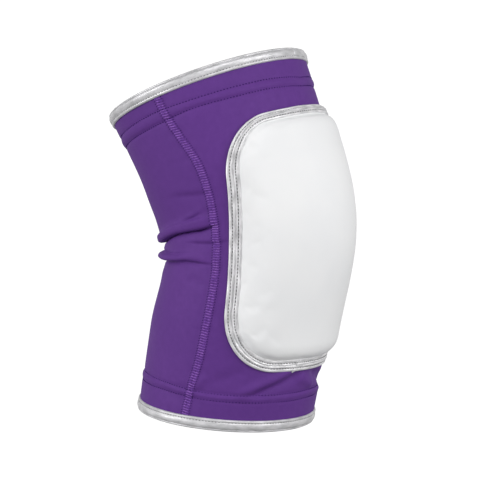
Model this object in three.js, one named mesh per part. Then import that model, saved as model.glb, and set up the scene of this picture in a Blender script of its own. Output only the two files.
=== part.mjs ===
// A knee pad for volleyball, in millimetres and degrees, with +Z up.
// A stretch-fabric sleeve, bent a little at the knee, carries a foam pad over the kneecap. The pad faces -Y.
// The origin is the middle of the hollow, where the centre of the knee sits.
// A place on the sleeve is an "at" (0 at the bottom rim, 1 at the top rim), an angle round the leg
// (0 at the front, 90 at the side that faces -X, 180 behind the knee) and a lift above the fabric's outer face.
import * as THREE from "three";

// Sleeve
const THIGH_RISE = 100; // from the knee's middle up to the middle of the top rim
const THIGH_BACK = 30.1; // how far behind the knee's middle the top rim's middle is
const SHIN_DROP = 109; // from the knee's middle down to the middle of the bottom rim
const SHIN_BACK = 16.6;
const THIGH_DEPTH = 128.6; // front to back at the top rim
const THIGH_WIDTH = 128;
const KNEE_DEPTH = 108;
const KNEE_WIDTH = 107.5;
const CALF_DEPTH = 110.2;
const CALF_WIDTH = 110;
const TOP_RIM_TILT = 21.35; // the rim is higher in front
const BOTTOM_RIM_TILT = 4.65; // the rim is lower in front
const KNEE_TILT = 8.4;
const FABRIC_WALL = 1.5;
const GAP = 0.3; // clearance between pieces that are sewn together
const FACET_SAG = 0.15; // how far the pad's flat facets may dip under the curve they stand for

// Folds behind the knee
const FOLD_DEPTH = 4;
const FOLD_WIDTH = 6;
const FOLD_START = 78; // the angle at which the folds begin
const FOLD_SIDE = 110;
const FOLD_BACK = 150;

// Tapes
const TAPE_THICKNESS = 0.7;
const RIM_TAPE_WIDTH = 6.6;
const PAD_TAPE_WIDTH = 8.3;

// Pad
const PAD_WIDTH = 139; // round the knee, tape included
const PAD_LENGTH = 139; // along the leg's middle, tape included
const PAD_WAIST = 2.2; // how much narrower each side is at the knee
const PAD_DROP = 0.5; // how far the pad's middle is below the sleeve's
const PAD_TOP_CORNER = 30;
const PAD_BOTTOM_CORNER = 35;
const FLANGE_THICKNESS = 0.9; // the pad's thin edge, which the tape wraps
const SHOULDER_HEIGHT = 7;
const SHOULDER_RUN = 13; // how far in from the tape the shoulder reaches its height
const CROWN_HEIGHT = 9; // how much higher the middle is than the shoulder
const CROWN_LENGTH = 124;
const CROWN_RISE = 4; // how far the crown's top is above the sleeve's middle

// Sections of the leg from the bottom rim to the top rim: where each one's middle is, the slope of its plane
// and its size.
const SECTIONS = [
  { at: 0, up: -SHIN_DROP, back: SHIN_BACK, tilt: -BOTTOM_RIM_TILT, depth: CALF_DEPTH, width: CALF_WIDTH },
  {
    at: 0.25,
    up: -0.5 * SHIN_DROP,
    back: 0.41 * SHIN_BACK,
    tilt: -0.69 * BOTTOM_RIM_TILT,
    depth: 1.02 * CALF_DEPTH,
    width: 1.02 * CALF_WIDTH,
  },
  { at: 0.5, up: 0, back: 0, tilt: KNEE_TILT, depth: KNEE_DEPTH, width: KNEE_WIDTH },
  {
    at: 0.75,
    up: 0.5 * THIGH_RISE,
    back: 0.28 * THIGH_BACK,
    tilt: 0.93 * TOP_RIM_TILT,
    depth: 0.936 * THIGH_DEPTH,
    width: 0.936 * THIGH_WIDTH,
  },
  { at: 1, up: THIGH_RISE, back: THIGH_BACK, tilt: TOP_RIM_TILT, depth: THIGH_DEPTH, width: THIGH_WIDTH },
];

// The side seam: the angle it runs at, by height.
const SEAM = [
  { at: 0, angle: 88 },
  { at: 0.1, angle: 86.8 },
  { at: 0.2, angle: 83.6 },
  { at: 0.35, angle: 82 },
  { at: 0.62, angle: 80.9 },
  { at: 0.74, angle: 82 },
  { at: 0.84, angle: 87 },
  { at: 0.91, angle: 89.7 },
  { at: 1, angle: 90.4 },
];

// Each fold behind the knee: its height at the seam, at the side and at the back, how far it stands out
// (a crease goes in) and how wide it is, as shares of FOLD_DEPTH and FOLD_WIDTH.
const FOLDS = [
  { seam: 0.589, side: 0.588, back: 0.57, out: 0.35, width: 1.1 },
  { seam: 0.564, side: 0.569, back: 0.54, out: -0.65, width: 0.6 },
  { seam: 0.503, side: 0.5, back: 0.53, out: -0.5, width: 0.6 },
  { seam: 0.481, side: 0.486, back: 0.513, out: 0.55, width: 0.75 },
  { seam: 0.458, side: 0.471, back: 0.49, out: -0.5, width: 0.7 },
];

// Mesh density
const FRONT_COLUMNS = 24;
const BACK_COLUMNS = 28;
const ROW_STEP = 11.5;
const FOLD_ROW_STEP = 2.4;
const FOLD_ZONE = { from: 0.44, to: 0.63 };
const LENGTH_STEPS = 60;
const CORNER_POINTS = 7;
const SIDE_POINTS = 8;

const radians = THREE.MathUtils.degToRad;
const { clamp, smoothstep } = THREE.MathUtils;

// A smooth curve through one column of a table whose first column is "at".
function column(rows, name, at) {
  const last = rows.length - 1;
  let i = 0;
  while (i < last - 1 && at > rows[i + 1].at) i += 1;
  const slope = (k) => {
    const before = rows[Math.max(k - 1, 0)];
    const after = rows[Math.min(k + 1, last)];
    return (after[name] - before[name]) / (after.at - before.at);
  };
  const span = rows[i + 1].at - rows[i].at;
  const u = (at - rows[i].at) / span;
  const rise = rows[i + 1][name] - rows[i][name];
  const startSlope = slope(i) * span;
  const endSlope = slope(i + 1) * span;
  const square = (3 * rise - 2 * startSlope - endSlope) * u * u;
  const cube = (startSlope + endSlope - 2 * rise) * u * u * u;
  return rows[i][name] + startSlope * u + square + cube;
}

// The middle of the leg's section at a height.
function centreAt(at) {
  return new THREE.Vector3(0, column(SECTIONS, "back", at), column(SECTIONS, "up", at));
}

// The length of the leg's middle line from rim to rim.
function middleLength() {
  let length = 0;
  for (let i = 0; i < LENGTH_STEPS; i += 1) {
    length += centreAt(i / LENGTH_STEPS).distanceTo(centreAt((i + 1) / LENGTH_STEPS));
  }
  return length;
}

const SLEEVE_LENGTH = middleLength();

// A distance along the leg in millimetres as a difference of "at".
const share = (distance) => distance / SLEEVE_LENGTH;

// How far the fabric is pushed out by the folds, with the same folds on both sides.
function foldOut(at, angle) {
  const round = Math.abs(angle) > 180 ? 360 - Math.abs(angle) : Math.abs(angle);
  const toSide = smoothstep(round, FOLD_START, FOLD_SIDE);
  const toBack = smoothstep(round, FOLD_SIDE, FOLD_BACK);
  let out = 0;
  for (const fold of FOLDS) {
    const line = fold.seam + (fold.side - fold.seam) * toSide + (fold.back - fold.side) * toBack;
    const offset = (at - line) / share(fold.width * FOLD_WIDTH);
    const bump = Math.max(0, 1 - offset * offset);
    out += fold.out * FOLD_DEPTH * toSide * bump * bump;
  }
  return out;
}

// A point at a height and angle, lifted off the fabric's outer face.
function sleevePoint(at, angle, lift) {
  const turn = radians(angle);
  const tilt = radians(column(SECTIONS, "tilt", at));
  const halfDepth = column(SECTIONS, "depth", at) / 2;
  const halfWidth = column(SECTIONS, "width", at) / 2;
  const normal = new THREE.Vector2(Math.sin(turn) / halfWidth, Math.cos(turn) / halfDepth).normalize();
  const out = lift + foldOut(at, angle);
  const aside = halfWidth * Math.sin(turn) + normal.x * out;
  const ahead = halfDepth * Math.cos(turn) + normal.y * out;
  return centreAt(at).add(new THREE.Vector3(-aside, -ahead * Math.cos(tilt), ahead * Math.sin(tilt)));
}

// The angle that an arc of the given length, measured from the front, spans at a height.
function arcAngle(at, arc) {
  const radius = (column(SECTIONS, "depth", at) + column(SECTIONS, "width", at)) / 4;
  return THREE.MathUtils.radToDeg(arc / radius);
}

// Joins rings of points, each with the same number, into one closed surface.
// ends is "joined" where the last ring meets the first, "strip" where each end ring is a thin band
// that closes across itself, or the two points that the first and the last ring close on.
function skin(rings, ends) {
  const size = rings[0].length;
  const points = rings.flat();
  const faces = [];
  const quad = (a, b, c, d) => faces.push(a, b, c, a, c, d);
  const bands = ends === "joined" ? rings.length : rings.length - 1;
  for (let i = 0; i < bands; i += 1) {
    const low = i * size;
    const high = ((i + 1) % rings.length) * size;
    for (let k = 0; k < size; k += 1) {
      const next = (k + 1) % size;
      quad(low + k, low + next, high + next, high + k);
    }
  }
  const top = (rings.length - 1) * size;
  if (ends === "strip") {
    for (let k = 0; k < size / 2 - 1; k += 1) {
      quad(k, size - 1 - k, size - 2 - k, k + 1);
      quad(top + k, top + k + 1, top + size - 2 - k, top + size - 1 - k);
    }
  }
  if (Array.isArray(ends)) {
    points.push(...ends);
    for (let k = 0; k < size; k += 1) {
      const next = (k + 1) % size;
      faces.push(points.length - 2, next, k);
      faces.push(points.length - 1, top + k, top + next);
    }
  }
  const geometry = new THREE.BufferGeometry().setFromPoints(points);
  geometry.setIndex(faces);
  geometry.computeVertexNormals();
  return geometry;
}

// Heights for a panel's rows, closer together where asked.
function rowHeights(low, high, zone) {
  const heights = [low];
  while (heights[heights.length - 1] < high) {
    const here = heights[heights.length - 1];
    const fine = zone && here > zone.from && here < zone.to;
    heights.push(here + share(fine ? FOLD_ROW_STEP : ROW_STEP));
  }
  const stretch = (high - low) / (heights[heights.length - 1] - low);
  return heights.map((at) => low + (at - low) * stretch);
}

// The ends of the fabric lie just inside the fold of the rim tapes.
const FABRIC_BOTTOM = share(TAPE_THICKNESS + GAP);
const FABRIC_TOP = 1 - share(TAPE_THICKNESS + GAP);

// One fabric panel between the two side seams, at the front of the leg or behind it.
function makePanel(behind, columns, zone) {
  const rings = rowHeights(FABRIC_BOTTOM, FABRIC_TOP, zone).map((at) => {
    const edge = column(SEAM, "angle", at);
    const clear = arcAngle(at, GAP / 2);
    const start = behind ? edge + clear : clear - edge;
    const end = behind ? 360 - edge - clear : edge - clear;
    const angles = Array.from({ length: columns + 1 }, (_, k) => start + ((end - start) * k) / columns);
    const outside = angles.map((angle) => sleevePoint(at, angle, 0));
    const inside = angles.map((angle) => sleevePoint(at, angle, -FABRIC_WALL));
    return [...inside, ...outside.reverse()];
  });
  return skin(rings, "strip");
}

// The section of a tape folded round an edge: how far in from the fold, and how high above the bed's underside.
function foldedTape(width, bed) {
  const low = -GAP - TAPE_THICKNESS;
  const high = bed + GAP + TAPE_THICKNESS;
  const round = TAPE_THICKNESS;
  return [
    { into: width, up: low },
    { into: round, up: low },
    { into: 0.3 * round, up: low + 0.3 * round },
    { into: 0, up: low + round },
    { into: 0, up: high - round },
    { into: 0.3 * round, up: high - 0.3 * round },
    { into: round, up: high },
    { into: width, up: high },
    { into: width, up: bed + GAP },
    { into: TAPE_THICKNESS, up: bed + GAP },
    { into: TAPE_THICKNESS, up: -GAP },
    { into: width, up: -GAP },
  ];
}

// The tape folded over the bottom or the top rim, all the way round.
function makeRimTape(top) {
  const section = foldedTape(RIM_TAPE_WIDTH, FABRIC_WALL);
  const columns = FRONT_COLUMNS + BACK_COLUMNS;
  const rings = Array.from({ length: columns }, (_, k) => {
    const angle = ((top ? -k : k) * 360) / columns;
    return section.map(({ into, up }) => {
      const at = top ? 1 - share(into) : share(into);
      return sleevePoint(at, angle, up - FABRIC_WALL);
    });
  });
  return skin(rings, "joined");
}

// The pad's outline as a rounded rectangle, taken in by inset. Points go round from the lower left.
function padOutline(inset) {
  const halfWidth = PAD_WIDTH / 2 - inset;
  const halfLength = PAD_LENGTH / 2 - inset;
  const corners = [
    { across: -1, along: -1, radius: PAD_BOTTOM_CORNER, from: 180 },
    { across: 1, along: -1, radius: PAD_BOTTOM_CORNER, from: 270 },
    { across: 1, along: 1, radius: PAD_TOP_CORNER, from: 0 },
    { across: -1, along: 1, radius: PAD_TOP_CORNER, from: 90 },
  ];
  const arcs = corners.map(({ across, along, radius, from }) => {
    const bend = Math.min(Math.max(radius - inset, 0.3 * halfWidth), halfWidth, halfLength);
    return Array.from({ length: CORNER_POINTS + 1 }, (_, k) => {
      const turn = radians(from + (90 * k) / CORNER_POINTS);
      return new THREE.Vector2(
        across * (halfWidth - bend) + bend * Math.cos(turn),
        along * (halfLength - bend) + bend * Math.sin(turn),
      );
    });
  });
  return arcs.flatMap((arc, i) => {
    const next = arcs[(i + 1) % arcs.length][0];
    const end = arc[arc.length - 1];
    const side = Array.from({ length: SIDE_POINTS - 1 }, (_, k) => end.clone().lerp(next, (k + 1) / SIDE_POINTS));
    return [...arc, ...side];
  });
}

// A point of the pad: across and along in millimetres on the fabric, from the pad's middle.
function padPoint(across, along, lift) {
  const at = 0.5 + share(along - PAD_DROP);
  const waist = PAD_WAIST * Math.cos((Math.PI * along) / PAD_LENGTH) ** 2;
  const narrowed = across * (1 - waist / (PAD_WIDTH / 2));
  return sleevePoint(at, arcAngle(at, -narrowed), lift);
}

const FLANGE_BOTTOM = 2 * GAP + FACET_SAG + TAPE_THICKNESS;
const FLANGE_TOP = FLANGE_BOTTOM + FLANGE_THICKNESS;
const PAD_BODY_INSET = PAD_TAPE_WIDTH + GAP;

// The foam's height: a rounded shoulder inside the tape, and a crown over the kneecap.
function padHeight(inset, across, along) {
  const run = clamp((inset - PAD_BODY_INSET) / SHOULDER_RUN, 0, 1);
  const shoulder = FLANGE_TOP + (SHOULDER_HEIGHT - FLANGE_TOP) * Math.sqrt(1 - (1 - run) ** 2);
  const upward = clamp((along - PAD_DROP - CROWN_RISE) / (CROWN_LENGTH / 2), -1, 1);
  const sideways = clamp(across / (PAD_WIDTH / 2 - PAD_BODY_INSET), -1, 1);
  const crown = CROWN_HEIGHT * Math.cos((Math.PI / 2) * upward) ** 2 * (1 - sideways ** 2);
  return shoulder + crown;
}

// The foam pad with its cover: a body that sits on the fabric and a thin flange inside the tape.
function makePad() {
  const ring = (inset, lift) =>
    padOutline(inset).map(({ x, y }) => padPoint(x, y, typeof lift === "function" ? lift(inset, x, y) : lift));
  const inner = PAD_WIDTH / 2;
  const edge = TAPE_THICKNESS + GAP;
  const shares = (list) => list.map((part) => PAD_BODY_INSET + (inner - PAD_BODY_INSET) * part);
  const seat = GAP + FACET_SAG;
  const under = shares([0.88, 0.72, 0.57, 0.42, 0.27, 0.13, 0]).map((inset) => ring(inset, seat));
  const flange = [
    ring(PAD_BODY_INSET, FLANGE_BOTTOM),
    ring(edge, FLANGE_BOTTOM),
    ring(edge, FLANGE_TOP),
    ring(PAD_BODY_INSET, FLANGE_TOP),
  ];
  const over = shares([0.02, 0.06, 0.12, 0.21, 0.34, 0.5, 0.68, 0.86]).map((inset) => ring(inset, padHeight));
  const middles = [padPoint(0, 0, seat), padPoint(0, 0, padHeight(inner, 0, 0))];
  return skin([...under, ...flange, ...over], middles);
}

// The tape folded round the pad's flange.
function makePadTape() {
  const section = foldedTape(PAD_TAPE_WIDTH, FLANGE_THICKNESS);
  const outlines = section.map(({ into, up }) =>
    padOutline(into).map(({ x, y }) => padPoint(x, y, FLANGE_BOTTOM + up)),
  );
  return skin(outlines, "joined");
}

const fabric = new THREE.MeshStandardMaterial({ color: 0x5f3b8a, roughness: 0.7, metalness: 0 });
const cover = new THREE.MeshStandardMaterial({ color: 0xe8e9ea, roughness: 0.55, metalness: 0 });
const tape = new THREE.MeshStandardMaterial({ color: 0xcfcfd0, roughness: 0.35, metalness: 0 });

function piece(name, geometry, material) {
  const mesh = new THREE.Mesh(geometry, material);
  mesh.name = name;
  return mesh;
}

const kneePad = new THREE.Group();
kneePad.add(
  piece("front_panel", makePanel(false, FRONT_COLUMNS), fabric),
  piece("back_panel", makePanel(true, BACK_COLUMNS, FOLD_ZONE), fabric),
  piece("top_binding", makeRimTape(true), tape),
  piece("bottom_binding", makeRimTape(false), tape),
  piece("foam_pad", makePad(), cover),
  piece("pad_binding", makePadTape(), tape),
);

export default kneePad;
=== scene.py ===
import math

import bmesh
import bpy
from mathutils import Matrix, Vector, noise


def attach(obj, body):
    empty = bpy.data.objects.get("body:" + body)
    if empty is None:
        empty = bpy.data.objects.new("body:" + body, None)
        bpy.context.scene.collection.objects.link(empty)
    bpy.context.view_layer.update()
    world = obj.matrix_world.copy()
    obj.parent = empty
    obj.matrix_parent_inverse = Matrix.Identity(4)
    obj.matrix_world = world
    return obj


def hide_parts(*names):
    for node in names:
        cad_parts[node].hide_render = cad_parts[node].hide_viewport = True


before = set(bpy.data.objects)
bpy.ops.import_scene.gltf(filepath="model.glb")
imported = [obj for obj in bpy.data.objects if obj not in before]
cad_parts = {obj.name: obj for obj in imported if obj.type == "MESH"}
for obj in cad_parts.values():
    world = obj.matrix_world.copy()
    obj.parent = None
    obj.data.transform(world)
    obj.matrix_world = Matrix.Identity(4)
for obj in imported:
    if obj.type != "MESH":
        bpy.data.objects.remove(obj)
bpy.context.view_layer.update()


# The leg's form. The pad is shown filled out as if worn, on a knee that is bent a little.
# Every sewn piece below lies on this form: "at" runs from the calf rim (0) to the thigh rim (1),
# the angle from the front (0) over the side that faces -X (90) to the back of the knee (180).
MM = 0.001
THIGH_RISE = 100 * MM
THIGH_BACK = 30.1 * MM
SHIN_DROP = 109 * MM
SHIN_BACK = 16.6 * MM
THIGH_DEPTH = 128.6 * MM
THIGH_WIDTH = 128 * MM
KNEE_DEPTH = 108 * MM
KNEE_WIDTH = 107.5 * MM
CALF_DEPTH = 110.2 * MM
CALF_WIDTH = 110 * MM
TOP_RIM_TILT = 21.35
BOTTOM_RIM_TILT = 4.65
KNEE_TILT = 8.4

SECTIONS = (
    {"at": 0, "up": -SHIN_DROP, "back": SHIN_BACK, "tilt": -BOTTOM_RIM_TILT,
     "depth": CALF_DEPTH, "width": CALF_WIDTH},
    {"at": 0.25, "up": -0.5 * SHIN_DROP, "back": 0.41 * SHIN_BACK, "tilt": -0.69 * BOTTOM_RIM_TILT,
     "depth": 1.02 * CALF_DEPTH, "width": 1.02 * CALF_WIDTH},
    {"at": 0.5, "up": 0, "back": 0, "tilt": KNEE_TILT,
     "depth": KNEE_DEPTH, "width": KNEE_WIDTH},
    {"at": 0.75, "up": 0.5 * THIGH_RISE, "back": 0.28 * THIGH_BACK, "tilt": 0.93 * TOP_RIM_TILT,
     "depth": 0.936 * THIGH_DEPTH, "width": 0.936 * THIGH_WIDTH},
    {"at": 1, "up": THIGH_RISE, "back": THIGH_BACK, "tilt": TOP_RIM_TILT,
     "depth": THIGH_DEPTH, "width": THIGH_WIDTH},
)


def curve(rows, name, at):
    """A smooth curve through one column of a table whose first column is "at"."""
    last = len(rows) - 1
    i = 0
    while i < last - 1 and at > rows[i + 1]["at"]:
        i += 1

    def slope(k):
        before, after = rows[max(k - 1, 0)], rows[min(k + 1, last)]
        return (after[name] - before[name]) / (after["at"] - before["at"])

    span = rows[i + 1]["at"] - rows[i]["at"]
    u = (at - rows[i]["at"]) / span
    rise = rows[i + 1][name] - rows[i][name]
    start, end = slope(i) * span, slope(i + 1) * span
    square = (3 * rise - 2 * start - end) * u * u
    return rows[i][name] + start * u + square + (start + end - 2 * rise) * u ** 3


def smooth(low, high, x):
    """Rises smoothly from 0 at low to 1 at high."""
    share = min(max((x - low) / (high - low), 0), 1)
    return share * share * (3 - 2 * share)


def hump(x):
    """A smooth bump: 1 at 0, and nearly nothing beyond 2 on either side."""
    return math.exp(-x * x)


FORM_STEPS = 400
FORM = {
    name: [curve(SECTIONS, name, step / FORM_STEPS) for step in range(FORM_STEPS + 1)]
    for name in ("up", "back", "tilt", "depth", "width")
}


def form(name, at):
    """One measure of the leg's section at a height, from the table above."""
    place = min(max(at, 0), 1) * FORM_STEPS
    i = min(int(place), FORM_STEPS - 1)
    return FORM[name][i] + (FORM[name][i + 1] - FORM[name][i]) * (place - i)


def leg_point(at, angle, lift=0):
    """A point of the leg's form, lifted off it by a distance."""
    turn, tilt = math.radians(angle), math.radians(form("tilt", at))
    deep, wide = form("depth", at) / 2, form("width", at) / 2
    facing = Vector((math.sin(turn) / wide, math.cos(turn) / deep)).normalized()
    aside = wide * math.sin(turn) + facing.x * lift
    ahead = deep * math.cos(turn) + facing.y * lift
    behind = form("back", at) - ahead * math.cos(tilt)
    above = form("up", at) + ahead * math.sin(tilt)
    return Vector((-aside, behind, above))


# The leg's length, measured along its middle.
LENGTH_STEPS = 60
stops = [step / LENGTH_STEPS for step in range(LENGTH_STEPS + 1)]
LEG_LENGTH = sum(
    math.hypot(form("up", end) - form("up", start), form("back", end) - form("back", start))
    for start, end in zip(stops, stops[1:])
)


def radius(at):
    """The leg's mean radius at a height."""
    return (form("depth", at) + form("width", at)) / 4


# The two fabric panels. Warp-knit stretch fabric in polyester and elastane, cut as a front and a back
# panel and sewn together down both sides. It is turned in and doubled at each rim, where two rows of
# stitches hold the hem, and it crumples behind the knee, where the bend pushes it together.
FABRIC_WALL = 1.1 * MM
# The stitch rows' distances from each rim, in millimetres, at angles round the leg.
TOP_HEM = (
    {"at": 0, "near": 18.8, "far": 24.2},
    {"at": 25, "near": 17.3, "far": 23},
    {"at": 50, "near": 16.6, "far": 22.3},
    {"at": 75, "near": 15.8, "far": 21},
    {"at": 95, "near": 14.8, "far": 21.8},
    {"at": 130, "near": 15.3, "far": 22},
    {"at": 180, "near": 15.4, "far": 22},
)
BOTTOM_HEM = (
    {"at": 0, "near": 19, "far": 23.9},
    {"at": 30, "near": 18.4, "far": 23},
    {"at": 75, "near": 18.1, "far": 22.2},
    {"at": 112, "near": 19.4, "far": 24.4},
    {"at": 180, "near": 18.8, "far": 24.4},
)
# The doubled hem stands out by a step, rolls up between its rows, and is pinched along each row.
HEM_REACH = 30 * MM
HEM_STEP = 0.45 * MM
HEM_STEP_FROM = -0.4 * MM
HEM_STEP_TO = 1.2 * MM
HEM_ROLL = 0.35 * MM
HEM_ROLL_WIDTH = 2 * MM
HEM_PINCH = (0.35 * MM, 0.75 * MM)
HEM_PINCH_WIDTH = 0.9 * MM

SEAM = (
    {"at": 0, "angle": 88},
    {"at": 0.1, "angle": 86.8},
    {"at": 0.2, "angle": 83.6},
    {"at": 0.35, "angle": 82},
    {"at": 0.62, "angle": 80.9},
    {"at": 0.74, "angle": 82},
    {"at": 0.84, "angle": 87},
    {"at": 0.91, "angle": 89.7},
    {"at": 1, "angle": 90.4},
)
SEAM_HALF_WIDTH = 2.9 * MM
SEAM_RAISE = 0.4 * MM
SEAM_EDGE_DEPTH = 0.25 * MM
SEAM_EDGE_WIDTH = 1 * MM
PUCKER_HEIGHT = 0.22 * MM
PUCKER_SPACING = 9 * MM
PUCKER_REACH = 8 * MM
PUCKER_DRIFT = 14 * MM

# Each crease behind the knee: its height at the seam, at the side and at the back, then its lip: how far
# it bulges, how far above the crease it lies, its half width and how square it is. Then the crease's depth,
# how far it spreads, how far the lip hangs over it, and the angles where it begins, is full and ends. An
# end of 400 means that it runs on round the back.
CREASES = (
    {"seam": 0.568, "side": 0.571, "back": 0.551, "lip": 2.2, "above": 3.75, "half": 3, "edge": 2,
     "deep": 4.2, "spread": 3, "hang": 2.2, "start": 76, "full": 94, "end": 400},
    {"seam": 0.496, "side": 0.501, "back": 0.52, "lip": 2.5, "above": -3, "half": 2.6, "edge": 2,
     "deep": 1.7, "spread": 1.1, "hang": 0, "start": 92, "full": 128, "end": 400},
    {"seam": 0.456, "side": 0.477, "back": 0.482, "lip": 1.1, "above": 3.6, "half": 3.4, "edge": 1,
     "deep": 2.6, "spread": 3.4, "hang": 1, "start": 75, "full": 104, "end": 400},
    {"seam": 0.618, "side": 0.597, "back": 0.58, "lip": 0.4, "above": 2.1, "half": 1.7, "edge": 1,
     "deep": 0.9, "spread": 1.7, "hang": 0.3, "start": 84, "full": 98, "end": 122},
    {"seam": 0.517, "side": 0.532, "back": 0.532, "lip": 0.4, "above": 3.2, "half": 2.6, "edge": 1,
     "deep": 1.2, "spread": 2.6, "hang": 0, "start": 68, "full": 84, "end": 90},
    {"seam": 0.665, "side": 0.687, "back": 0.7, "lip": 0.3, "above": 4.2, "half": 3.4, "edge": 1,
     "deep": 1, "spread": 3.4, "hang": 0, "start": 74, "full": 90, "end": 94},
)
# The angles at which the three heights hold, and how far round a crease takes to fade at its end.
CREASE_SEAM = 80
CREASE_SIDE = 110
CREASE_BACK = 150
CREASE_FADE = 22
# A crease's groove, in shares of its spread: its sharp bottom, the soft valley below it and the steep
# wall above it.
GROOVE_SHARP = 0.5
GROOVE_VALLEY = 1.9
GROOVE_WALL = 0.4

# Soft pulls in the fabric: from one place to another, as height and angle, with depth and width.
PULLS = (
    {"from_at": 0.114, "from_angle": 52, "to_at": 0.168, "to_angle": 25, "deep": -1.9, "wide": 3.2},
    {"from_at": 0.112, "from_angle": 42, "to_at": 0.157, "to_angle": 17, "deep": 2.1, "wide": 2.7},
    {"from_at": 0.15, "from_angle": 12, "to_at": 0.126, "to_angle": -2, "deep": -1.3, "wide": 3},
    {"from_at": 0.146, "from_angle": 79, "to_at": 0.113, "to_angle": 83, "deep": -0.9, "wide": 2},
    {"from_at": 0.135, "from_angle": 72, "to_at": 0.17, "to_angle": 56, "deep": 0.7, "wide": 3.5},
    {"from_at": 0.42, "from_angle": 100, "to_at": 0.405, "to_angle": 90, "deep": 0.7, "wide": 3},
    {"from_at": 0.16, "from_angle": -4, "to_at": 0.118, "to_angle": -32, "deep": 2.6, "wide": 3.6},
    {"from_at": 0.09, "from_angle": 112, "to_at": 0.075, "to_angle": 84, "deep": 0.8, "wide": 3.5},
)


def hem_row(rim, row, angle):
    """How far a stitch row lies from the top rim (1) or the bottom rim (0)."""
    return curve(TOP_HEM if rim else BOTTOM_HEM, row, abs((angle + 180) % 360 - 180)) * MM


def hem_relief(at, angle):
    """How far the nearer hem stands out."""
    rim = 1 if at > 0.5 else 0
    distance = abs(rim - at) * LEG_LENGTH
    if distance > HEM_REACH:
        return 0
    first, second = hem_row(rim, "near", angle), hem_row(rim, "far", angle)
    relief = HEM_STEP * (1 - smooth(second + HEM_STEP_FROM, second + HEM_STEP_TO, distance))
    relief += HEM_ROLL * hump((distance - (first + second) / 2) / HEM_ROLL_WIDTH)
    for row, depth in zip((first, second), HEM_PINCH):
        relief -= depth * hump((distance - row) / HEM_PINCH_WIDTH)
    return relief


def crease_line(crease, angle):
    """A crease's height at an angle round the leg."""
    to_side = (crease["side"] - crease["seam"]) * smooth(CREASE_SEAM, CREASE_SIDE, angle)
    to_back = (crease["back"] - crease["side"]) * smooth(CREASE_SIDE, CREASE_BACK, angle)
    return crease["seam"] + to_side + to_back


def crease_relief(at, angle):
    """How far the creases push the cloth out, and how far they drag it down."""
    out = drag = 0
    for crease in CREASES:
        fading = smooth(crease["end"], crease["end"] + CREASE_FADE, angle)
        strength = smooth(crease["start"], crease["full"], angle) * (1 - fading)
        if strength == 0:
            continue
        below = (crease_line(crease, angle) - at) * LEG_LENGTH / MM
        spread = crease["spread"]
        lip = crease["lip"] * hump(abs((below + crease["above"]) / crease["half"]) ** crease["edge"])
        sharp, valley = hump(below / (GROOVE_SHARP * spread)), hump(max(below, 0) / (GROOVE_VALLEY * spread))
        groove = crease["deep"] * (0.5 * sharp + 0.5 * valley)
        if below < 0:
            groove *= hump(below / (GROOVE_WALL * spread))
        out += strength * (lip - groove)
        drag += strength * crease["hang"] * hump((below + 0.5 * spread) / (0.55 * spread))
    return out * MM, drag * MM


def pull_relief(at, angle):
    """The soft pulls: ridges where their depth is negative."""
    out = 0
    for pull in PULLS:
        scale = radius(at) * math.radians(1)
        start = Vector((pull["from_angle"] * scale, pull["from_at"] * LEG_LENGTH))
        run = Vector((pull["to_angle"] * scale, pull["to_at"] * LEG_LENGTH)) - start
        here = Vector((angle * scale, at * LEG_LENGTH)) - start
        share = here.dot(run) / run.length_squared
        aside = abs(here.cross(run)) / run.length
        ends = smooth(-0.35, 0.15, share) * (1 - smooth(0.85, 1.35, share))
        out -= pull["deep"] * MM * ends * hump(aside / (pull["wide"] * MM))
    return out


def seam_relief(at, angle):
    """The sewn edge stands up a little and puckers the cloth beside it."""
    aside = math.radians(angle - curve(SEAM, "angle", at)) * radius(at)
    along = at * LEG_LENGTH
    ridge = SEAM_RAISE * hump((aside / (1.15 * SEAM_HALF_WIDTH)) ** 2)
    edge = -SEAM_EDGE_DEPTH * hump((abs(aside) - 1.35 * SEAM_HALF_WIDTH) / SEAM_EDGE_WIDTH)
    wobble = noise.noise(Vector((along / PUCKER_DRIFT, 0.3, 5.1)))
    pucker = PUCKER_HEIGHT * math.sin(2 * math.pi * along / PUCKER_SPACING + 4 * wobble)
    return ridge + edge + pucker * hump(aside / PUCKER_REACH) * (0.5 + wobble)


# Small uneven waves: soft ones all over, and finer ones that lie across the leg behind the knee.
SOFT_WAVE = {"height": 0.3 * MM, "wide": 34 * MM, "tall": 30 * MM}
FINE_WAVE = {"height": 0.5 * MM, "wide": 30 * MM, "tall": 6.5 * MM}


def rumple(at, angle):
    """How far the small waves lift the cloth."""
    along, around = at * LEG_LENGTH, math.radians(angle) * radius(at)
    soft = noise.noise(Vector((around / SOFT_WAVE["wide"], along / SOFT_WAVE["tall"], 1.7)))
    fine = noise.noise(Vector((around / FINE_WAVE["wide"], along / FINE_WAVE["tall"], 8.2)))
    behind = smooth(88, 135, angle) * hump((at - 0.53) / 0.1)
    return SOFT_WAVE["height"] * soft + FINE_WAVE["height"] * behind * fine


def cloth_point(at, angle, lift=0):
    """A point of the fabric's outer face. Both sides of the leg have the same creases."""
    round_leg = abs((angle + 180) % 360 - 180)
    relief, drag = crease_relief(at, round_leg)
    relief += hem_relief(at, angle)
    relief += pull_relief(at, (angle + 180) % 360 - 180) + seam_relief(at, round_leg) + rumple(at, round_leg)
    return leg_point(at - drag / LEG_LENGTH, angle, lift + relief)


def row_places(low, high, coarse, fine, zones):
    """Heights between two limits, closer together inside the zones."""
    places = [low]
    while places[-1] < high:
        close = any(start < places[-1] < end for start, end in zones)
        places.append(places[-1] + (fine if close else coarse) / LEG_LENGTH)
    stretch = (high - low) / (places[-1] - low)
    return [low + (at - low) * stretch for at in places]


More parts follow.
